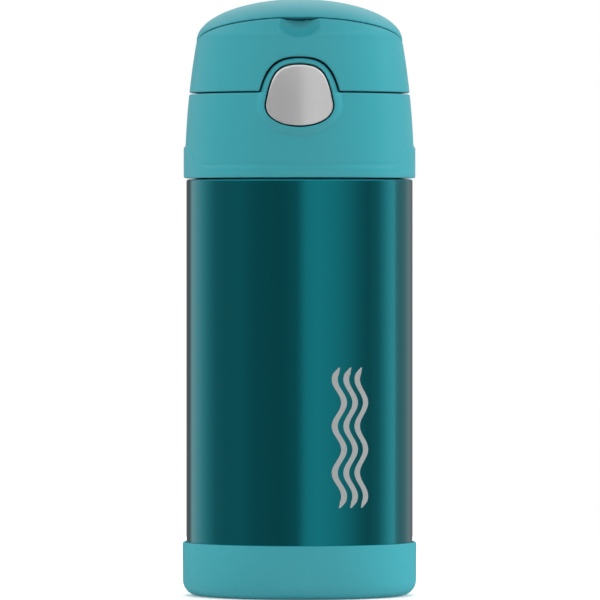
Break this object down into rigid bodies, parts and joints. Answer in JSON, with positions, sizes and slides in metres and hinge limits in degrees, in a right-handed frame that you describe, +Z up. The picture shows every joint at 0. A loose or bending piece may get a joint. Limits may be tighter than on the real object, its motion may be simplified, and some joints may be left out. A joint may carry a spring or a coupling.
{
  "type": "insulated drinking bottle",
  "caption": "Vacuum-walled steel bottle in a rubber base boot, with a screw lid, push-button flip cap, pop-up straw spout and fold-flat carry handle.",
  "frame": {"origin": "middle of the flat base, at the height of the surface the bottle stands on", "axes": "+Z up along the bottle's axis, -Y towards the push button, +Y towards the cap's hinge"},
  "size_m": [0.071, 0.071, 0.1807],
  "materials": {
    "teal_lid": "satin moulded plastic",
    "teal_boot": "matt soft rubber",
    "teal_steel": "clear-coated metallic teal",
    "silver_button": "satin silver",
    "bare_steel": "brushed and bead-blasted",
    "grey_plastic": "moulded plastic",
    "silicone": "translucent matt silicone",
    "clear_plastic": "clear tube"
  },
  "bodies": {
    "bottle": {"outer_shell": "teal_steel", "inner_liner": "bare_steel", "shell_bottom": "bare_steel", "vacuum_seal": "grey_plastic", "getter": "bare_steel", "base_boot": "teal_boot"},
    "seal": {"lid_gasket": "silicone"},
    "lid": {"lid_collar": "teal_lid", "lid_insert": "grey_plastic", "hinge_pin": "bare_steel", "hinge_spring": "bare_steel", "button_spring_left": "bare_steel", "button_spring_right": "bare_steel", "spout_base": "silicone", "vent_valve": "silicone", "drinking_straw": "clear_plastic"},
    "button": {"push_button": "silver_button", "button_latch": "grey_plastic"},
    "spout": {"spout": "silicone"},
    "cap": {"flip_cap": "teal_lid", "cap_inner_liner": "grey_plastic", "cap_catch": "grey_plastic", "handle_pivot_left": "bare_steel", "handle_pivot_right": "bare_steel"},
    "handle": {"carry_handle": "teal_lid"}
  },
  "joints": [
    {"name": "lid_rise", "type": "slide", "parent": "bottle", "child": "seal", "axis": [0, 0, 1], "range_m": [0, 0.008]},
    {"name": "lid_turn", "type": "hinge", "parent": "seal", "child": "lid", "pos_m": [0, 0, 0.1325], "axis": [0, 0, 1], "range_deg": [0, 720]},
    {"name": "cap_hinge", "type": "hinge", "parent": "lid", "child": "cap", "pos_m": [0, 0.032, 0.1535], "axis": [-1, 0, 0], "range_deg": [0, 120]},
    {"name": "handle_pivot", "type": "hinge", "parent": "cap", "child": "handle", "pos_m": [0, 0.01, 0.1704], "axis": [-1, 0, 0], "range_deg": [0, 90]},
    {"name": "button_press", "type": "slide", "parent": "lid", "child": "button", "axis": [0, 1, 0], "range_m": [0, 0.002], "stiffness_N_per_m": 400, "springref_m": -0.001, "deforming": ["button_spring_left", "button_spring_right"]},
    {"name": "spout_pop_up", "type": "hinge", "parent": "lid", "child": "spout", "pos_m": [0, 0.008, 0.1495], "axis": [-1, 0, 0], "range_deg": [0, 80.1]}
  ],
  "couplings": [
    {"joint": "lid_rise", "follows": "lid_turn", "m_per_rad": 0.00063662},
    {"joint": "spout_pop_up", "follows": "cap_hinge", "ratio": 0.66667}
  ]
}
